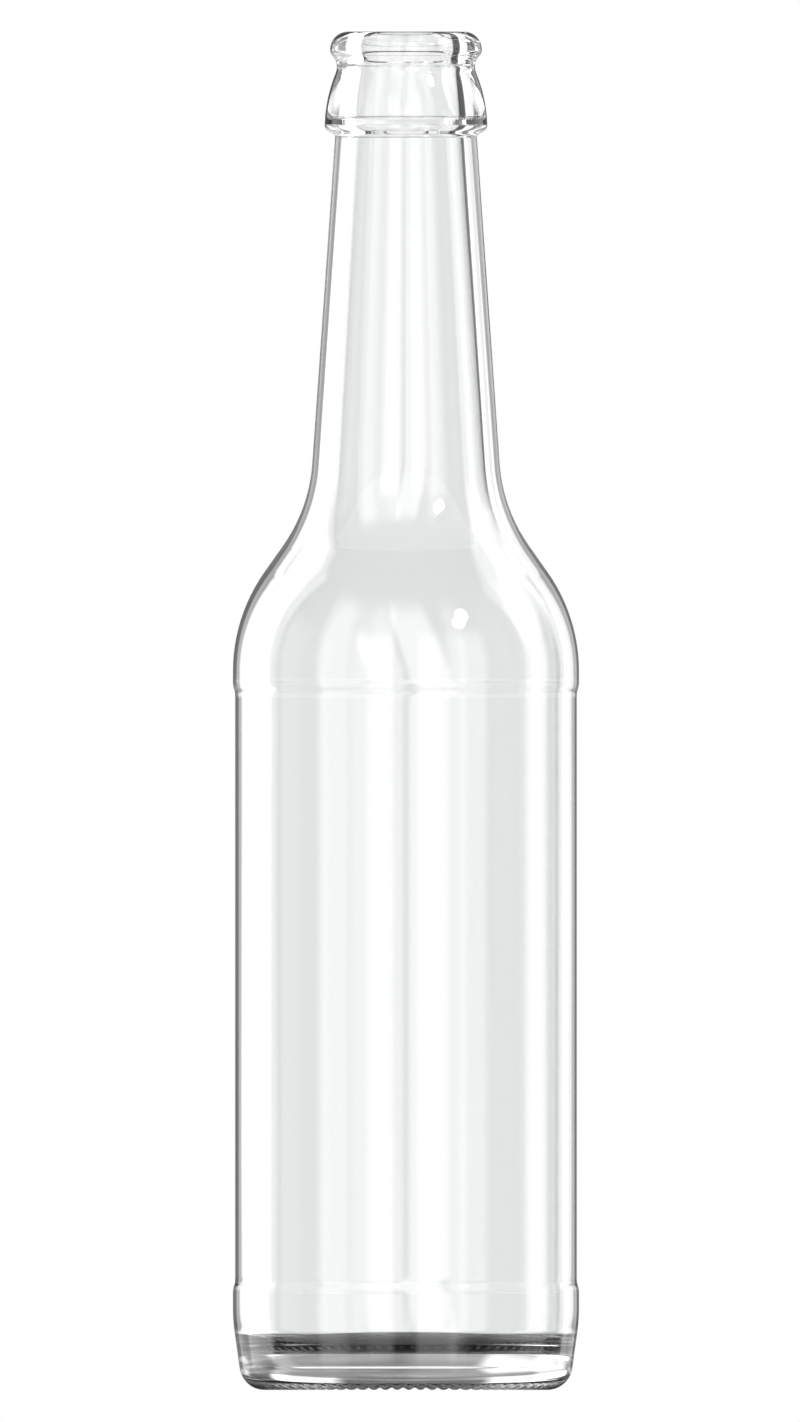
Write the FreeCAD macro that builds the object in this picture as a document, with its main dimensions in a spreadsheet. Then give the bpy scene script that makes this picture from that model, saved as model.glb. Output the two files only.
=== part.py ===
import FreeCAD, Part
import math
import os

import Sketcher
from FreeCAD import Vector

# A clear glass longneck bottle for a crown cap: one piece of blown flint glass, empty and open.
# The frame: +Z up, the origin at the middle of the ring that the bottle stands on.

# Driving sizes, in millimetres and degrees.
SIZES = (
    # the whole
    ("overall_height", 239.0),
    ("body_diameter", 60.9),
    # underside: a shallow push-up inside a narrow standing ring
    ("punt_height", 4.2),
    ("rim_round", 1.5),
    ("bearing_width", 0.7),
    # heel and foot, from the standing ring out to the side
    ("heel_inset", 5.55),
    ("heel_round", 4.4),
    ("heel_taper", 8.0),
    ("foot_round", 30.0),
    ("foot_band", 2.7),
    # label panel, sunk between two ledges that save the label from rubbing
    ("label_recess", 0.4),
    ("ledge_height", 2.5),
    ("label_height", 102.5),
    ("shoulder_band", 1.9),
    # shoulder and neck
    ("shoulder_round", 30.2),
    ("shoulder_straight", 5.7),
    ("neck_round", 28.4),
    ("neck_taper", 4.0),
    # crown finish: a locking bead over a throat, and a skirt under it
    ("crown_diameter", 26.7),
    ("bead_round", 3.2),
    ("throat_undercut", 1.23),
    ("throat_round", 2.9),
    ("throat_drop", 6.25),
    ("skirt_flare", 1.0),
    ("skirt_round", 26.0),
    ("skirt_corner", 1.3),
    ("skirt_drop", 16.4),
    ("skirt_pitch", 30.0),
    ("skirt_ledge", 1.9),
    ("collar_round", 0.7),
    # cavity
    ("bore_diameter", 16.6),
    ("lip_round", 1.3),
    ("land_width", 0.3),
    ("bore_depth", 3.2),
    ("flare_height", 2.6),
    ("neck_wall", 2.8),
    ("body_wall", 2.4),
    ("corner_round", 4.5),
    ("dome_round", 100.0),
    ("base_thickness", 5.1),
    # knurls: short radial grooves across the standing ring, their floors bent up at both ends
    ("knurl_count", 75),
    ("knurl_depth", 0.4),
    ("knurl_round", 0.85),
    ("knurl_bend", 10.0),
    ("knurl_sweep", 44.0),
)

doc = FreeCAD.newDocument("longneck_bottle")
sheet = doc.addObject("Spreadsheet::Sheet", "Sizes")
for row, (alias, number) in enumerate(SIZES, start=1):
    sheet.set(f"A{row}", str(number))
    sheet.setAlias(f"A{row}", alias)
doc.recompute()


def size(alias):
    """The sheet's value under this name."""
    return float(sheet.get(alias))


def polar(length, degrees):
    """The vector of this length, turned this far from the sketch's first axis."""
    turn = math.radians(degrees)
    return Vector(length * math.cos(turn), length * math.sin(turn), 0)


def bearing(vector):
    """The angle of a vector from the sketch's first axis, in degrees."""
    return math.degrees(math.atan2(vector.y, vector.x))


def origin_part(body, role):
    """The plane or axis of the body's own origin that has this role."""
    return next(f for f in body.Origin.OriginFeatures if f.Role == role)


class Outline:
    """A closed chain of lines and arcs in a sketch on the body's XZ plane, drawn in one stroke."""

    def __init__(self, body, name, start):
        self.sketch = body.newObject("Sketcher::SketchObject", name)
        self.sketch.AttachmentSupport = [(origin_part(body, "XZ_Plane"), "")]
        self.sketch.MapMode = "FlatFace"
        self.start = self.pen = start
        self.edges = {}

    def line(self, name, end):
        """Draw a straight edge from the pen to its end."""
        edge = Part.LineSegment(self.pen, end)
        self.edges[name] = (self.sketch.addGeometry(edge), 1, 2)
        self.pen = end

    def arc(self, name, centre, end):
        """Draw the short arc around a centre, from the pen to its end, whichever way that turns."""
        first, last = self.pen - centre, end - centre
        left_hand = first.cross(last).z > 0
        low, high = (first, last) if left_hand else (last, first)
        start = math.radians(bearing(low))
        sweep = math.radians(bearing(high)) - start
        circle = Part.Circle(centre, Vector(0, 0, 1), first.Length)
        edge = Part.ArcOfCircle(circle, start, start + sweep % (2 * math.pi))
        geometry = self.sketch.addGeometry(edge)
        self.edges[name] = (geometry, 1, 2) if left_hand else (geometry, 2, 1)
        self.pen = end

    def begin(self, name):
        """The edge's first point, as a constraint names it."""
        return self.edges[name][0], self.edges[name][1]

    def end(self, name):
        """The edge's last point, as a constraint names it."""
        return self.edges[name][0], self.edges[name][2]

    def middle(self, name):
        """The arc's centre, as a constraint names it."""
        return self.edges[name][0], 3

    def join(self, corners):
        """Join each edge to the next: in a corner after the edges named, and smoothly elsewhere."""
        names = list(self.edges)
        for name, following in zip(names, names[1:] + names[:1]):
            kind = "Coincident" if name in corners else "Tangent"
            self.tie(kind, *self.end(name), *self.begin(following))

    def tie(self, kind, *where):
        """Add a constraint that has no size."""
        self.sketch.addConstraint(Sketcher.Constraint(kind, *where))

    def hold(self, kind, where, rule):
        """Add a constraint whose size follows a rule on the sheet."""
        number = float(self.sketch.evalExpression(rule))
        if kind == "Angle":
            number = math.radians(number)
        index = self.sketch.addConstraint(Sketcher.Constraint(kind, *where, number))
        self.sketch.setExpression(f"Constraints[{index}]", rule)

    def radius(self, name, rule):
        """Hold an arc's radius."""
        self.hold("Radius", self.edges[name][:1], rule)

    def slope(self, name, rule):
        """Hold a straight edge's angle from the sketch's first axis."""
        self.hold("Angle", self.edges[name][:1], rule)

    def across(self, point, rule):
        """Hold a point's distance from the bottle's axis."""
        self.hold("DistanceX", (-1, 1, *point), rule)

    def up(self, point, rule):
        """Hold a point's height above the standing plane."""
        self.hold("DistanceY", (-1, 1, *point), rule)


def s_curve(foot, first_radius, second_radius, straight, top, lean):
    """Points of an S from a vertical side up to a leaning one: arc, straight and opposite arc.

    foot is where the side ends, and top is a point on the leaning side, which leans in by lean degrees.
    The two arcs' centres are as far apart as the radii and the straight between them make it.
    """
    low_centre = foot - Vector(first_radius, 0, 0)
    outward = polar(1, lean)
    upward = polar(1, lean + 90)
    reach = math.hypot(first_radius + second_radius, straight)
    offset = top + outward * second_radius - low_centre
    climb = offset.dot(upward)
    back = climb - math.sqrt(climb**2 - offset.Length**2 + reach**2)
    high_centre = low_centre + offset - upward * back
    turn = bearing(high_centre - low_centre)
    turn -= math.degrees(math.atan2(straight, first_radius + second_radius))
    return {
        "low_centre": low_centre,
        "low_end": low_centre + polar(first_radius, turn),
        "high_centre": high_centre,
        "high_start": high_centre - polar(second_radius, turn),
        "high_end": high_centre - outward * second_radius,
    }


def ledge(line, name, depth, height):
    """Draw a small step of two equal arcs in a vertical side: inwards where depth is above zero."""
    radius = (depth**2 + height**2) / (4 * abs(depth))
    toward = Vector(math.copysign(radius, depth), 0, 0)
    end = line.pen + Vector(-depth, height, 0)
    middle = (line.pen + end) / 2
    line.arc(f"{name}_low", line.pen - toward, middle)
    line.arc(f"{name}_high", end + toward, end)


body = doc.addObject("PartDesign::Body", "bottle")
body.Label = "bottle"

# The section through the glass. Every point below is where the sizes put it, so the sketch is drawn
# solved, and the constraints after it hold it there.
side = size("body_diameter") / 2
panel = side - size("label_recess")
mouth = size("overall_height")

# underside: the push-up's arc meets the ring's inner round
punt_height, rim_round = size("punt_height"), size("rim_round")
ring_outer = side - size("heel_inset")
ring_inner = ring_outer - size("bearing_width")
punt_round = (ring_inner**2 + (rim_round - punt_height) ** 2 - rim_round**2) / (2 * punt_height)
punt_centre = Vector(0, punt_height - punt_round, 0)
rim_centre = Vector(ring_inner, rim_round, 0)
punt_end = punt_centre + (rim_centre - punt_centre) * (punt_round / (punt_round + rim_round))

glass = Outline(body, "glass_section", Vector(0, punt_height, 0))
glass.arc("punt", punt_centre, punt_end)
glass.arc("rim", rim_centre, Vector(ring_inner, 0, 0))
glass.line("bearing", Vector(ring_outer, 0, 0))

# heel and foot: the taper meets both rounds
heel_centre = Vector(ring_outer, size("heel_round"), 0)
taper_out = polar(1, -size("heel_taper"))
taper_up = polar(1, 90 - size("heel_taper"))
taper_start = heel_centre + taper_out * size("heel_round")
foot_reach = side - size("foot_round") * (1 - taper_out.x)
taper_end = taper_start + taper_up * ((foot_reach - taper_start.x) / taper_up.x)
foot_centre = taper_end - taper_out * size("foot_round")
glass.arc("heel", heel_centre, taper_start)
glass.line("taper", taper_end)
glass.arc("foot", foot_centre, Vector(side, foot_centre.y, 0))
glass.line("foot_side", glass.pen + Vector(0, size("foot_band"), 0))

# label panel between its two ledges
ledge(glass, "lower_ledge", size("label_recess"), size("ledge_height"))
glass.line("panel", glass.pen + Vector(0, size("label_height"), 0))
ledge(glass, "upper_ledge", -size("label_recess"), size("ledge_height"))
glass.line("shoulder_side", glass.pen + Vector(0, size("shoulder_band"), 0))
shoulder_foot = glass.pen

# crown finish, placed from the mouth down
crown = size("crown_diameter") / 2
skirt_pitch = size("skirt_pitch")
skirt_centre = Vector(crown + size("skirt_flare") - size("skirt_corner"), mouth - size("skirt_drop"), 0)
ledge_end = skirt_centre + polar(size("skirt_corner"), skirt_pitch - 90)
neck_top_radius = crown + size("skirt_flare") - size("skirt_ledge")
lean = size("neck_taper")
collar_x = neck_top_radius + size("collar_round") * math.cos(math.radians(lean))
collar_drop = size("collar_round") / math.cos(math.radians(skirt_pitch))
collar_rise = (collar_x - ledge_end.x) * math.tan(math.radians(skirt_pitch))
collar_centre = Vector(collar_x, ledge_end.y + collar_rise - collar_drop, 0)
neck_top = collar_centre - polar(size("collar_round"), lean)
ledge_start = collar_centre + polar(size("collar_round"), skirt_pitch + 90)

throat_x = crown - size("throat_undercut") + size("throat_round")
throat_centre = Vector(throat_x, mouth - size("throat_drop"), 0)
to_throat = throat_centre - skirt_centre
skirt_reach = size("skirt_round") - size("skirt_corner")
throat_reach = size("skirt_round") + size("throat_round")
share = (skirt_reach**2 - throat_reach**2 + to_throat.Length**2) / (2 * to_throat.Length)
stand_off = math.sqrt(skirt_reach**2 - share**2)
along = to_throat / to_throat.Length
bulge_centre = skirt_centre + along * share + Vector(-along.y, along.x, 0) * stand_off
bulge_start = bulge_centre + (skirt_centre - bulge_centre) * (size("skirt_round") / skirt_reach)
bulge_end = bulge_centre + (throat_centre - bulge_centre) * (size("skirt_round") / throat_reach)

# the two rounds at the mouth keep their own sizes, unless the wall is too thin to hold both and a land
bore = size("bore_diameter") / 2
rounds_fit = (
    "min(1; (Sizes.crown_diameter / 2 - Sizes.bore_diameter / 2 - Sizes.land_width)"
    " / (Sizes.bead_round + Sizes.lip_round))"
)
bead_rule = f"Sizes.bead_round * {rounds_fit}"
lip_rule = f"Sizes.lip_round * {rounds_fit}"
bead_round = float(sheet.evalExpression(bead_rule))
lip_round = float(sheet.evalExpression(lip_rule))

bead_centre = Vector(crown - bead_round, mouth - bead_round, 0)
bead_gap = Vector(throat_centre.x - crown, bead_centre.y - throat_centre.y, 0)
bead_corner = (bead_gap.Length**2 - size("throat_round") ** 2) / (2 * (size("throat_round") - bead_gap.x))
corner_centre = Vector(crown - bead_corner, bead_centre.y, 0)
to_corner = corner_centre - throat_centre
throat_end = throat_centre + to_corner * (size("throat_round") / to_corner.Length)

# shoulder and neck, up to the finish
outer_s = s_curve(
    shoulder_foot,
    size("shoulder_round"),
    size("neck_round"),
    size("shoulder_straight"),
    neck_top,
    lean,
)
glass.arc("shoulder", outer_s["low_centre"], outer_s["low_end"])
glass.line("slope", outer_s["high_start"])
glass.arc("neck_foot", outer_s["high_centre"], outer_s["high_end"])
glass.line("neck", neck_top)
glass.arc("collar", collar_centre, ledge_start)
glass.line("underledge", ledge_end)
glass.arc("skirt_corner", skirt_centre, bulge_start)
glass.arc("skirt", bulge_centre, bulge_end)
glass.arc("throat", throat_centre, throat_end)
glass.arc("bead_corner", corner_centre, Vector(crown, bead_centre.y, 0))
glass.arc("bead", bead_centre, Vector(bead_centre.x, mouth, 0))

# cavity, from the mouth down: bore, flare and neck
flare_top = mouth - size("bore_depth")
flare_foot = flare_top - size("flare_height")
wall_top = neck_top - polar(size("neck_wall"), lean)
lean_in = math.tan(math.radians(lean))
glass.line("land", Vector(bore + lip_round, mouth, 0))
glass.arc("lip", Vector(bore + lip_round, mouth - lip_round, 0), Vector(bore, mouth - lip_round, 0))
glass.line("bore", Vector(bore, flare_top, 0))
glass.line("flare", Vector(wall_top.x + (wall_top.y - flare_foot) * lean_in, flare_foot, 0))

# cavity: inside of the shoulder and body
shoulder_wall = size("label_recess") + size("body_wall")
wall = panel - size("body_wall")
inner_s = s_curve(
    Vector(wall, shoulder_foot.y, 0),
    size("shoulder_round") - shoulder_wall,
    size("neck_round") + size("neck_wall"),
    size("shoulder_straight"),
    wall_top,
    lean,
)
glass.line("inner_neck", inner_s["high_end"])
glass.arc("inner_neck_foot", inner_s["high_centre"], inner_s["high_start"])
glass.line("inner_slope", inner_s["low_end"])
glass.arc("inner_shoulder", inner_s["low_centre"], Vector(wall, shoulder_foot.y, 0))

# cavity: the floor, domed over the push-up
floor_top = punt_height + size("base_thickness")
dome_centre = Vector(0, floor_top - size("dome_round"), 0)
corner_x = wall - size("corner_round")
dome_reach = size("dome_round") + size("corner_round")
floor_corner = Vector(corner_x, dome_centre.y + math.sqrt(dome_reach**2 - corner_x**2), 0)
dome_start = dome_centre + (floor_corner - dome_centre) * (size("dome_round") / dome_reach)
glass.line("wall", Vector(wall, floor_corner.y, 0))
glass.arc("corner", floor_corner, dome_start)
glass.arc("dome", dome_centre, Vector(0, floor_top, 0))
glass.line("axis", glass.start)

glass.join(corners=("bore", "flare", "dome", "axis"))

# What holds the underside, heel and foot
for point in (glass.begin("punt"), glass.middle("punt"), glass.end("dome"), glass.middle("dome")):
    glass.tie("PointOnObject", *point, -2)
glass.tie("PointOnObject", *glass.begin("bearing"), -1)
for name in ("bearing", "land"):
    glass.tie("Horizontal", glass.edges[name][0])
for name in ("foot_side", "panel", "shoulder_side", "bore", "wall"):
    glass.tie("Vertical", glass.edges[name][0])
glass.up(glass.begin("punt"), "Sizes.punt_height")
glass.radius("rim", "Sizes.rim_round")
glass.across(glass.begin("bearing"), "Sizes.body_diameter / 2 - Sizes.heel_inset - Sizes.bearing_width")
glass.across(glass.end("bearing"), "Sizes.body_diameter / 2 - Sizes.heel_inset")
glass.radius("heel", "Sizes.heel_round")
glass.slope("taper", "90 - Sizes.heel_taper")
glass.radius("foot", "Sizes.foot_round")

# What holds the label panel, its ledges and the plain bands beside them
glass.across(glass.begin("foot_side"), "Sizes.body_diameter / 2")
glass.across(glass.begin("panel"), "Sizes.body_diameter / 2 - Sizes.label_recess")
glass.across(glass.begin("shoulder_side"), "Sizes.body_diameter / 2")
for low, high, rule in (
    (glass.begin("foot_side"), glass.end("foot_side"), "Sizes.foot_band"),
    (glass.end("foot_side"), glass.begin("panel"), "Sizes.ledge_height"),
    (glass.begin("panel"), glass.end("panel"), "Sizes.label_height"),
    (glass.end("panel"), glass.begin("shoulder_side"), "Sizes.ledge_height"),
    (glass.begin("shoulder_side"), glass.end("shoulder_side"), "Sizes.shoulder_band"),
):
    glass.hold("DistanceY", (*low, *high), rule)
for name in ("lower_ledge", "upper_ledge"):
    glass.tie("Equal", glass.edges[f"{name}_low"][0], glass.edges[f"{name}_high"][0])

# What holds the shoulder and neck
glass.radius("shoulder", "Sizes.shoulder_round")
glass.hold("Distance", glass.edges["slope"][:1], "Sizes.shoulder_straight")
glass.radius("neck_foot", "Sizes.neck_round")
glass.slope("neck", "90 + Sizes.neck_taper")
glass.across(glass.end("neck"), "Sizes.crown_diameter / 2 + Sizes.skirt_flare - Sizes.skirt_ledge")

# What holds the crown finish
glass.radius("collar", "Sizes.collar_round")
glass.slope("underledge", "Sizes.skirt_pitch")
glass.radius("skirt_corner", "Sizes.skirt_corner")
glass.across(
    glass.middle("skirt_corner"),
    "Sizes.crown_diameter / 2 + Sizes.skirt_flare - Sizes.skirt_corner",
)
glass.up(glass.middle("skirt_corner"), "Sizes.overall_height - Sizes.skirt_drop")
glass.radius("skirt", "Sizes.skirt_round")
glass.radius("throat", "Sizes.throat_round")
glass.across(glass.middle("throat"), "Sizes.crown_diameter / 2 - Sizes.throat_undercut + Sizes.throat_round")
glass.up(glass.middle("throat"), "Sizes.overall_height - Sizes.throat_drop")
glass.tie("Horizontal", *glass.middle("bead_corner"), *glass.middle("bead"))
glass.radius("bead", bead_rule)
glass.across(glass.middle("bead"), f"Sizes.crown_diameter / 2 - {bead_rule}")
glass.up(glass.middle("bead"), f"Sizes.overall_height - {bead_rule}")

# What holds the cavity
glass.radius("lip", lip_rule)
glass.across(glass.end("bore"), "Sizes.bore_diameter / 2")
glass.up(glass.end("bore"), "Sizes.overall_height - Sizes.bore_depth")
glass.up(glass.end("flare"), "Sizes.overall_height - Sizes.bore_depth - Sizes.flare_height")
glass.tie("Parallel", glass.edges["inner_neck"][0], glass.edges["neck"][0])
glass.hold("Distance", (*glass.end("inner_neck"), glass.edges["neck"][0]), "Sizes.neck_wall")
glass.radius("inner_neck_foot", "Sizes.neck_round + Sizes.neck_wall")
glass.tie("Equal", glass.edges["inner_slope"][0], glass.edges["slope"][0])
glass.radius("inner_shoulder", "Sizes.shoulder_round - Sizes.label_recess - Sizes.body_wall")
glass.tie("Horizontal", *glass.end("inner_shoulder"), *glass.end("shoulder_side"))
glass.across(glass.end("wall"), "Sizes.body_diameter / 2 - Sizes.label_recess - Sizes.body_wall")
glass.radius("corner", "Sizes.corner_round")
glass.radius("dome", "Sizes.dome_round")
glass.up(glass.end("dome"), "Sizes.punt_height + Sizes.base_thickness")

# The shell: the glass section turned about the bottle's axis
shell = body.newObject("PartDesign::Revolution", "shell")
shell.Profile = glass.sketch
shell.ReferenceAxis = (glass.sketch, ["V_Axis"])
shell.Angle = 360

# Knurls: a round cutter swings across the standing ring about a centre above the ring's inner edge,
# so that each groove runs out in the push-up on its inner side and low on the heel on its outer side.
cutter = body.newObject("Sketcher::SketchObject", "knurl_section")
cutter.AttachmentSupport = [(origin_part(body, "YZ_Plane"), "")]
cutter.MapMode = "FlatFace"
cutter.setExpression("AttachmentOffset.Base.y", "Sizes.knurl_depth + Sizes.knurl_bend")
cutter.setExpression(
    "AttachmentOffset.Base.z",
    "Sizes.body_diameter / 2 - Sizes.heel_inset - Sizes.bearing_width",
)
reach = size("knurl_bend") + size("knurl_round")
circle = cutter.addGeometry(Part.Circle(Vector(0, -reach, 0), Vector(0, 0, 1), size("knurl_round")))
cutter.addConstraint(Sketcher.Constraint("PointOnObject", circle, 3, -2))
for kind, where, number, rule in (
    ("Radius", (circle,), size("knurl_round"), "Sizes.knurl_round"),
    ("DistanceY", (circle, 3, -1, 1), reach, "Sizes.knurl_bend + Sizes.knurl_round"),
):
    index = cutter.addConstraint(Sketcher.Constraint(kind, *where, number))
    cutter.setExpression(f"Constraints[{index}]", rule)

groove = body.newObject("PartDesign::Groove", "knurl")
groove.Profile = cutter
groove.ReferenceAxis = (cutter, ["H_Axis"])
groove.Midplane = True
groove.setExpression("Angle", "Sizes.knurl_sweep")

knurls = body.newObject("PartDesign::PolarPattern", "knurls")
knurls.Originals = [groove]
knurls.Axis = (origin_part(body, "Z_Axis"), [""])
knurls.Angle = 360
knurls.setExpression("Occurrences", "Sizes.knurl_count")
body.Tip = knurls
doc.recompute()

# Nothing is written unless every object is sound and every groove was cut.
for made in doc.Objects:
    if {"Invalid", "Error"} & set(made.State):
        raise RuntimeError(f"{made.Name} did not rebuild: {made.State}")
if not glass.sketch.FullyConstrained:
    raise RuntimeError("the glass section is not held by its sizes")
if body.Shape.isNull() or not body.Shape.isValid() or len(body.Shape.Solids) != 1:
    raise RuntimeError("the bottle is not one sound solid")
rings = [face.Surface for face in body.Shape.Faces if isinstance(face.Surface, Part.Toroid)]
grooves = [ring for ring in rings if math.isclose(ring.MinorRadius, size("knurl_round"))]
if len(grooves) != size("knurl_count"):
    raise RuntimeError("the knurls did not all cut the standing ring")

os.makedirs("parts", exist_ok=True)
body.Shape.exportStep(f"parts/{body.Label}.step")
print(f"{body.Label}: {body.Shape.Volume / 1000:.2f} cm3 of glass")
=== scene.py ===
import math

import bpy
import numpy as np
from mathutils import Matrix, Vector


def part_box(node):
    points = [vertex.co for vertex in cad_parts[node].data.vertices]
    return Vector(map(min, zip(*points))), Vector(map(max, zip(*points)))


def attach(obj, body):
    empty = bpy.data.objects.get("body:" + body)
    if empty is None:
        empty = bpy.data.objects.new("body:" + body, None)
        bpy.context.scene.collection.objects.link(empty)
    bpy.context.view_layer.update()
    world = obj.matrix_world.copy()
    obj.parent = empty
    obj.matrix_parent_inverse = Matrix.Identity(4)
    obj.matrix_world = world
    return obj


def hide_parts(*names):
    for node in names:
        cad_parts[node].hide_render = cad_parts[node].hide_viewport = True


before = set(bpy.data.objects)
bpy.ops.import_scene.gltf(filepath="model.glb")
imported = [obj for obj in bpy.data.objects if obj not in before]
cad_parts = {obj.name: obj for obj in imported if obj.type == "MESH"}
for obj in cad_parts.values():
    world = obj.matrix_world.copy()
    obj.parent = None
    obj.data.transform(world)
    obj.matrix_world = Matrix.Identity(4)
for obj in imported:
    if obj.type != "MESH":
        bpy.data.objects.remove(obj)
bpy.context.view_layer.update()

# ---- The bottle ----
# One piece of clear flint glass, blown in a mould: a round body with a sunk label panel, a long
# neck and a finish for a crown cap. It is empty and open, and stands on a narrow knurled ring.

# Sizes are in millimetres, and heights are counted from the ground.
MM = 0.001
top_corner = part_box("bottle")[1]
MOUTH = top_corner[2] / MM
SIDE = top_corner[0] / MM
CROWN = 13.35
NECK_LEAN = math.radians(4.0)
NECK_ROUND = 28.4
SHOULDER_TURN = math.radians(35.3)
SHOULDER_FOOT = 126.47
SHOULDER_ROUND = 30.2
LABEL_RECESS = 0.4
LOWER_LEDGE = 17.71
UPPER_LEDGE = 122.71
LEDGE_RUN = 1.22
LEDGE_ROUND = 4
PUSH_UP = 4.2
BODY_WALL = 2.4
NECK_WALL = 2.8
BORE = 8.3
BORE_DEPTH = 3.2
FLARE_DEPTH = 5.8
FLARE_ROUND = 4
FLOOR_TOP = 9.3
DOME_ROUND = 100.0
CORNER_ROUND = 4.5
INNER_LOWER_LEDGE = (17.3, 19.4)
INNER_UPPER_LEDGE = (122.3, 124.4)
INNER_LEDGE_ROUND = 7
INNER_LEDGE_SHARE = 0.75


def along(point, heading, length):
    """The point a length away: the length times the heading's cosine and sine is added."""
    return (point[0] + length * math.cos(heading), point[1] + length * math.sin(heading))


def meeting(point, heading, other, other_heading):
    """Where two straight lines cross, each given by a point and a heading in radians.

    The gap between the points, crossed with the second heading, is divided by the sine of the turn
    between the headings. That is how far to go along the first line.
    """
    gap = (other[0] - point[0], other[1] - point[1])
    across = gap[0] * math.sin(other_heading) - gap[1] * math.cos(other_heading)
    return along(point, heading, across / math.sin(other_heading - heading))


def shoulder(side, first_round, neck_foot, second_round):
    """Two corners: an upright side turns in to the shoulder's slope, and the slope into the neck.

    The first corner is above the shoulder's foot by its round times the tangent of half the turn,
    so the arc starts at the foot. The second is where the slope's line meets the neck's.
    """
    first = (side, SHOULDER_FOOT + first_round * math.tan(SHOULDER_TURN / 2))
    second = meeting(first, math.pi / 2 + SHOULDER_TURN, neck_foot, math.pi / 2 + NECK_LEAN)
    return [(*first, first_round), (*second, second_round)]


def rounded(corners, step=math.radians(3.5), chord=1.6, margin=0.25, nearest=0.001):
    """A line through corners (radius, height, round), as an array of points.

    At each corner an arc of its round meets both sides, cut into equal turns of at most a step and
    a chord. A point on the arc is its centre plus the spoke to its start, turned about the centre.
    A side gets a point a margin from each of its ends, so that its shading stays straight. Where
    two points are nearer to each other than nearest, the second is dropped.
    """
    points = [corners[0][:2]]
    for before, here, after in zip(corners, corners[1:], corners[2:]):
        corner = np.array(here[:2])
        u = (corner - before[:2]) / math.dist(corner, before[:2])
        v = (after[:2] - corner) / math.dist(corner, after[:2])
        turn = math.atan2(u[0] * v[1] - u[1] * v[0], u @ v)
        reach = here[2] * math.tan(abs(turn) / 2)
        start = corner - u * reach
        if math.dist(start, points[-1]) > 3 * margin:
            points += [points[-1] + u * margin, start - u * margin]
        if here[2] == 0:
            points.append(corner)
            continue
        centre = start + np.array((-u[1], u[0])) * math.copysign(here[2], turn)
        count = max(2, math.ceil(abs(turn) / step), math.ceil(abs(turn) * here[2] / chord))
        t = np.linspace(0, turn, count + 1)[:, None]
        spoke = start - centre
        points += list(centre + np.cos(t) * spoke + np.sin(t) * np.array((-spoke[1], spoke[0])))
    points = np.array([*points, corners[-1][:2]])
    apart = np.hypot(*np.diff(points, axis=0).T) > nearest
    return points[np.append(True, apart)]


# Outside, from the middle of the push-up out and up to the mouth.
panel = SIDE - LABEL_RECESS
neck_top = (CROWN - 0.905, MOUTH - 18.23)
outside = [
    (0, PUSH_UP, 0),
    (12.2, PUSH_UP, 70.3),  # the push-up turns down
    (23.94, 0, 1.5),  # standing ring's inner edge
    (28.725, 0, 4.4),  # heel
    (SIDE, 12.27, 30),  # top of the tapered foot
    (SIDE, LOWER_LEDGE, LEDGE_ROUND),
    (panel, LOWER_LEDGE + LEDGE_RUN, LEDGE_ROUND),
    (panel, UPPER_LEDGE, LEDGE_ROUND),
    (SIDE, UPPER_LEDGE + LEDGE_RUN, LEDGE_ROUND),
    *shoulder(SIDE, SHOULDER_ROUND, neck_top, NECK_ROUND),
    (*neck_top, 0.7),
    (CROWN + 0.99, MOUTH - 17.14, 1.3),  # skirt's lower edge
    (CROWN + 0.815, MOUTH - 11.67, 26),  # skirt's swell
    (CROWN - 1.684, MOUTH - 5.58, 2.9),  # throat
    (CROWN, MOUTH - 3.81, 1.5),  # under the bead
    (CROWN, MOUTH, 3.2),  # lip, outside
    (BORE, MOUTH, 1.3),  # lip, inside
]

# Inside, from the mouth down to the middle of the floor. The body's inner side follows both ledges
# softly, and the round of the shoulder is smaller by what keeps its slope in the same place.
wall = panel - BODY_WALL
swell = wall + INNER_LEDGE_SHARE * LABEL_RECESS
slope_run = (swell - wall) / math.tan(SHOULDER_TURN)
inner_round = SHOULDER_ROUND - SIDE + wall - slope_run / math.tan(SHOULDER_TURN / 2)
inner_neck_top = along(neck_top, math.pi + NECK_LEAN, NECK_WALL)
flare_foot = meeting(inner_neck_top, math.pi / 2 + NECK_LEAN, (0, MOUTH - FLARE_DEPTH), 0)
dome_turn = math.asin((swell - CORNER_ROUND) / (DOME_ROUND + CORNER_ROUND))
dome_reach = DOME_ROUND * math.tan(dome_turn / 2)
dome_drop = (swell - dome_reach) * math.tan(dome_turn)
inside = [
    (BORE, MOUTH - BORE_DEPTH, FLARE_ROUND),
    (*flare_foot, FLARE_ROUND),
    *shoulder(swell, inner_round, inner_neck_top, NECK_ROUND + NECK_WALL)[::-1],
    (swell, INNER_UPPER_LEDGE[1], INNER_LEDGE_ROUND),
    (wall, INNER_UPPER_LEDGE[0], INNER_LEDGE_ROUND),
    (wall, INNER_LOWER_LEDGE[1], INNER_LEDGE_ROUND),
    (swell, INNER_LOWER_LEDGE[0], INNER_LEDGE_ROUND),
    (swell, FLOOR_TOP - dome_drop, CORNER_ROUND),
    (dome_reach, FLOOR_TOP, DOME_ROUND),
    (0, FLOOR_TOP, 0),
]
section = rounded(outside + inside)

# The knurls are radial grooves across the standing ring. A groove's floor is a shallow arc, lowest
# in the middle of the ring, and its depth is how far the glass would reach below that floor.
KNURLS = 75
KNURL_DEPTH = 0.4
KNURL_BEND = 10.0
KNURL_SHARPNESS = 1.3
RING = 24.2
RING_HALF_WIDTH = 4
COLUMNS = 3 * KNURLS
FINE_COLUMNS = 12 * KNURLS

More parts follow.
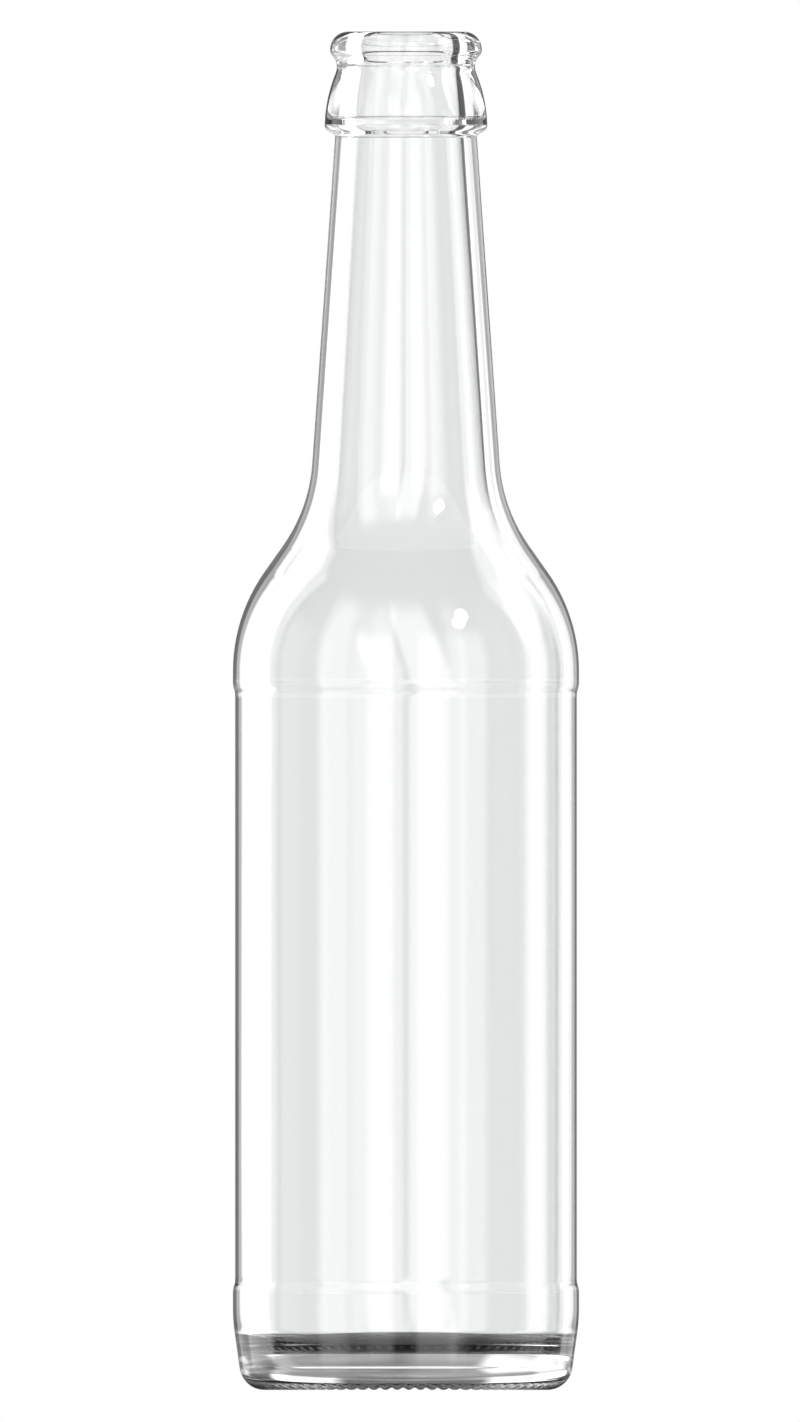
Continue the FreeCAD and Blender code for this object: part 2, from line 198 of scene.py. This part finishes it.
radius, height = section[1:-1].T
groove_floor = KNURL_DEPTH + (radius - RING) ** 2 / (2 * KNURL_BEND)
on_ring = abs(radius - RING) < RING_HALF_WIDTH
depth = np.where(on_ring, np.maximum(groove_floor - height, 0), 0)
counts = np.where(depth > 0, FINE_COLUMNS, COLUMNS)
starts = np.concatenate(([0], np.cumsum(counts)))


def ring_points(row):
    """One level of the lathe, as an array of points.

    They are the radius times the cosine and sine of a turn round the axis, and the height plus a
    lift. The lift is the groove's depth times a power of half of 1 plus a cosine, which goes round
    once for each knurl.
    """
    turn = np.linspace(0, 2 * math.pi, counts[row], endpoint=False)
    lift = depth[row] * (0.5 + 0.5 * np.cos(KNURLS * turn)) ** KNURL_SHARPNESS
    return np.stack(
        (radius[row] * np.cos(turn), radius[row] * np.sin(turn), height[row] + lift), axis=1
    )


def band(row):
    """The triangles between one level and the next, where the columns may also multiply.

    Each pair of neighbours on the coarser level takes one triangle to the middle of its share of
    the denser level, and every step of that share takes one back to the nearer of the two.
    """
    a, b = counts[row], counts[row + 1]
    share = max(a, b) // min(a, b)
    coarse, dense = (starts[row], starts[row + 1]) if a <= b else (starts[row + 1], starts[row])
    n = min(a, b)
    i = np.arange(n)
    near, far = coarse + i, coarse + (i + 1) % n
    triangles = [np.stack((near, far, dense + (i * share + share // 2) % (n * share)), axis=1)]
    for j in range(share):
        start = dense + i * share + j
        end = dense + (i * share + j + 1) % (n * share)
        triangles.append(np.stack((start, near if j < share // 2 else far, end), axis=1))
    triangles = np.concatenate(triangles)
    return triangles if a <= b else triangles[:, ::-1]


rows = len(radius)
points = np.concatenate([ring_points(row) for row in range(rows)])
foot_pole, floor_pole = len(points), len(points) + 1
points = np.concatenate((points, [(0, 0, section[0][1])], [(0, 0, section[-1][1])]))
column = np.arange(COLUMNS)
following = (column + 1) % COLUMNS
foot_fan = np.stack((np.full(COLUMNS, foot_pole), following, column), axis=1)
last_row = starts[rows - 1]
floor_fan = np.stack(
    (np.full(COLUMNS, floor_pole), last_row + column, last_row + following), axis=1
)
faces = np.concatenate((foot_fan, *(band(row) for row in range(rows - 1)), floor_fan))

glass_mesh = bpy.data.meshes.new("glass_bottle")
glass_mesh.from_pydata(points * MM, [], faces)
glass_mesh.validate()
glass_mesh.shade_smooth()
bottle = bpy.data.objects.new("glass_bottle", glass_mesh)
bpy.context.collection.objects.link(bottle)


class Value:
    """A shader socket that sums are written on: each operator adds its Math node."""

    def __init__(self, tree, socket):
        self.tree = tree
        self.socket = socket

    def math(self, operation, *others):
        sockets = dict(enumerate((self, *others)))
        return add_node(self.tree, "ShaderNodeMath", {"operation": operation}, sockets)["Value"]

    def __add__(self, other):
        return self.math("ADD", other)

    def __sub__(self, other):
        return self.math("SUBTRACT", other)

    def __mul__(self, other):
        return self.math("MULTIPLY", other)

    def __rsub__(self, other):
        return self * -1 + other

    __radd__ = __add__
    __rmul__ = __mul__


def add_node(tree, kind, settings=None, sockets=None):
    """Adds a node, makes its settings, fills its sockets and gives its outputs by name."""
    node = tree.nodes.new(kind)
    for name, value in (settings or {}).items():
        setattr(node, name, value)
    for name, value in (sockets or {}).items():
        if isinstance(value, Value):
            tree.links.new(value.socket, node.inputs[name])
        else:
            node.inputs[name].default_value = value
    return {output.name: Value(tree, output) for output in node.outputs}


def empty_tree(owner):
    """The node tree of a new material or world, with nothing in it yet."""
    owner.use_nodes = True
    owner.node_tree.nodes.clear()
    return owner.node_tree


def parts_of(vector):
    """The X, Y and Z of a vector."""
    return add_node(vector.tree, "ShaderNodeSeparateXYZ", sockets={"Vector": vector}).values()


def from_axis(place):
    """The distance of a place from the bottle's axis: the root of x squared plus y squared."""
    x, y, _ = parts_of(place)
    return (x * x + y * y).math("SQRT")


# The glass is nearly colourless. Faint waves run down it, and the mould leaves its underside a
# little rough. The lengths here are in metres, as Object coordinates are.
UNDERSIDE_HEIGHT = 0.0045
UNDERSIDE_REACH = 0.0267
FROST = 0.3
WAVE_STRETCH = 0.12
WAVES_PER_METRE = 90.0
WAVE_HEIGHT = 0.00004

glass = bpy.data.materials.new("flint_glass")
glass_tree = empty_tree(glass)
place = add_node(glass_tree, "ShaderNodeTexCoord")["Object"]
_, _, z = parts_of(place)
low = z.math("LESS_THAN", UNDERSIDE_HEIGHT)
underside = low * from_axis(place).math("LESS_THAN", UNDERSIDE_REACH)
streaks = add_node(
    glass_tree, "ShaderNodeMapping", sockets={"Vector": place, "Scale": (1, 1, WAVE_STRETCH)}
)["Vector"]
waves = add_node(
    glass_tree,
    "ShaderNodeTexNoise",
    sockets={"Vector": streaks, "Scale": WAVES_PER_METRE, "Detail": 1.0},
)["Fac"]
normal = add_node(
    glass_tree,
    "ShaderNodeBump",
    sockets={"Height": waves, "Strength": 1.0, "Distance": WAVE_HEIGHT},
)["Normal"]
surface = add_node(
    glass_tree,
    "ShaderNodeBsdfPrincipled",
    sockets={
        "Base Color": (0.935, 0.945, 0.937, 1),
        "Normal": normal,
        "Roughness": underside * FROST,
        "IOR": 1.52,
        "Transmission Weight": 1.0,
    },
)["BSDF"]
add_node(glass_tree, "ShaderNodeOutputMaterial", sockets={"Surface": surface})
glass_mesh.materials.append(glass)
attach(bottle, "root")
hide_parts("bottle")

# ---- The studio ----
# A white backdrop, which is seen through the glass. What the glass mirrors is a ring of soft light
# panels, with dark flags between them that draw its edges.

WHITE = (1, 1, 1, 1)
HALF_TURN = 180.0
PANEL_EDGE = 7
FLAG = 0.08

studio = bpy.data.worlds.new("studio")
bpy.context.scene.world = studio
studio_tree = empty_tree(studio)
right, away, up = parts_of(add_node(studio_tree, "ShaderNodeTexCoord")["Generated"])
bearing = right.math("ARCTAN2", away * -1) * math.degrees(1)
climb = up.math("ARCSINE") * math.degrees(1)


def ease(value, start, end, first_result, last_result):
    """An S curve from the first result to the last, while the value goes from start to end."""
    return add_node(
        value.tree,
        "ShaderNodeMapRange",
        {"interpolation_type": "SMOOTHSTEP"},
        {
            "Value": value,
            "From Min": start,
            "From Max": end,
            "To Min": first_result,
            "To Max": last_result,
        },
    )["Result"]


def window(value, half_width, soft):
    """1 where the value is nearer to 0 than half the width, and 0 outside it, with a soft edge."""
    return ease(value.math("ABSOLUTE"), half_width - soft, half_width + soft, 1.0, 0.0)


def softbox(level, start, end, bottom=-27, top=46, soft=3, lean=0.0):
    """The light of a soft panel that spans these bearings and these heights above the horizon.

    All are in degrees. The bearing counts from the front to the right and on round the back, and
    the panel leans to the side by so many degrees for each degree of height. It is the level times
    a window across and a window upright.
    """
    off_middle = bearing + climb * lean - (start + end) / 2
    across = off_middle.math("WRAP", HALF_TURN, -HALF_TURN)
    upright = climb - (bottom + top) / 2
    return (
        window(across, (end - start) / 2, soft)
        * window(upright, (top - bottom) / 2, PANEL_EDGE)
        * level
    )


def lamp(level, turn, rise, half_width):
    """The light of a small round lamp at this bearing and height, all in degrees.

    The cosine between a direction and the lamp's is the sum of their parts' products. The light is
    the level where it is above the cosine of half the lamp's width, and nothing elsewhere.
    """
    turn, rise = math.radians(turn), math.radians(rise)
    cosine = (
        right * (math.sin(turn) * math.cos(rise))
        + away * (-math.cos(turn) * math.cos(rise))
        + up * math.sin(rise)
    )
    return level * cosine.math("GREATER_THAN", math.cos(math.radians(half_width)))


def straight(tree):
    """1 for what is seen directly or through the glass, and 0 for what is seen mirrored.

    It is 1 less the number of times that the line of sight was mirrored, at most once.
    """
    return 1 - add_node(tree, "ShaderNodeLightPath")["Glossy Depth"].math("MINIMUM", 1.0)


panels = (
    # in front on the right, then at the right side
    softbox(2.2, 2, 30, lean=0.35)
    + softbox(1.1, 30, 42)
    + softbox(0.25, 60, 84)
    + softbox(0.9, 86, 110)
    # behind on the right
    + softbox(1.5, 133, 142, bottom=-60, top=75)
    + softbox(0.95, 142, 161, bottom=-60, top=75)
    # straight behind: dim, with brighter strips below the horizon
    + softbox(0.12, 130, 210, top=24)
    + softbox(0.85, 161, 181, bottom=-60, top=-6)
    + softbox(1.2, 181, 204, bottom=-60, top=-6)
    # behind on the left
    + softbox(3.0, 204, 256, bottom=-36, top=-15)
    + softbox(1.1, 204, 225, bottom=-60, top=75)
    + softbox(2.6, 225, 256, bottom=-60, top=75)
    # in front on the left
    + softbox(2.1, 298, 319)
    + softbox(0.9, 319, 335)
    + softbox(1.6, 335, 351)
    + lamp(9.0, 44.4, 35.4, 4.5)
    + FLAG
)
white = add_node(
    studio_tree, "ShaderNodeBackground", sockets={"Color": WHITE, "Strength": 1.0}
)["Background"]
lights = add_node(
    studio_tree, "ShaderNodeBackground", sockets={"Color": WHITE, "Strength": panels}
)["Background"]
surroundings = add_node(
    studio_tree,
    "ShaderNodeMixShader",
    sockets={"Fac": straight(studio_tree), 1: lights, 2: white},
)["Shader"]
add_node(studio_tree, "ShaderNodeOutputWorld", sockets={"Surface": surroundings})

# ---- The floor ----
# A large sheet of matt white paper with a painted shadow: a round gradient darkens it under the
# bottle's foot. The studio's lights show through it where the glass mirrors them. Near the foot
# they are weaker, and that is painted shade too.

# Lengths in metres, and shares of the light.
FLOOR = 20.0
# The painted shadow: between these reaches from the axis, the paper goes from this dark share to
# full white.
PAINTED_SHADE_START, PAINTED_SHADE_END, PAINTED_SHADE = 0.027, 0.036, 0.04
# Painted shade on the mirrored lights: inside this reach they are dimmed by this share, with a
# soft edge.
DIM_REACH, DIM_EDGE, DIM = 0.05, 0.006, 0.68

paper_mesh = bpy.data.meshes.new("floor")
corners = [(-FLOOR, -FLOOR, 0), (FLOOR, -FLOOR, 0), (FLOOR, FLOOR, 0), (-FLOOR, FLOOR, 0)]
paper_mesh.from_pydata(corners, [], [(0, 1, 2, 3)])
floor = bpy.data.objects.new("floor", paper_mesh)
bpy.context.collection.objects.link(floor)
paper = bpy.data.materials.new("white_paper")
paper_tree = empty_tree(paper)
reach = from_axis(add_node(paper_tree, "ShaderNodeTexCoord")["Object"])
# Painted shadow under the foot: a round gradient that is dark near the axis and white beyond.
painted_shade = ease(reach, PAINTED_SHADE_START, PAINTED_SHADE_END, PAINTED_SHADE, 1.0)
# Painted shade: the mirrored lights seen through the paper are dimmed near the foot.
painted_mirror_shade = painted_shade * (1 - DIM * window(reach, DIM_REACH, DIM_EDGE))
lit = add_node(
    paper_tree, "ShaderNodeBsdfDiffuse", sockets={"Color": (0.85, 0.85, 0.85, 1)}
)["BSDF"]
glow = add_node(
    paper_tree, "ShaderNodeEmission", sockets={"Color": WHITE, "Strength": 0.2}
)["Emission"]
sheet = add_node(paper_tree, "ShaderNodeAddShader", sockets={0: lit, 1: glow})["Shader"]
seen = add_node(paper_tree, "ShaderNodeMixShader", sockets={"Fac": painted_shade, 2: sheet})["Shader"]
clear = add_node(paper_tree, "ShaderNodeBsdfTransparent")["BSDF"]
mirrored = add_node(paper_tree, "ShaderNodeMixShader", sockets={"Fac": painted_mirror_shade, 2: clear})["Shader"]
either = add_node(
    paper_tree,
    "ShaderNodeMixShader",
    sockets={"Fac": straight(paper_tree), 1: mirrored, 2: seen},
)["Shader"]
add_node(paper_tree, "ShaderNodeOutputMaterial", sockets={"Surface": either})
paper_mesh.materials.append(paper)

# ---- The camera ----
# It looks level at the bottle's front without perspective, as a very long lens does, and its frame
# is a little taller than the bottle.

camera = bpy.data.objects.new("camera", bpy.data.cameras.new("camera"))
bpy.context.collection.objects.link(camera)
camera.data.type = "ORTHO"
camera.data.ortho_scale = 0.2502
camera.location = (-0.00105, -1.0, 0.11945)
camera.rotation_euler = (math.radians(90), 0, 0)
bpy.context.scene.camera = camera
bpy.context.scene.view_settings.view_transform = "Standard"
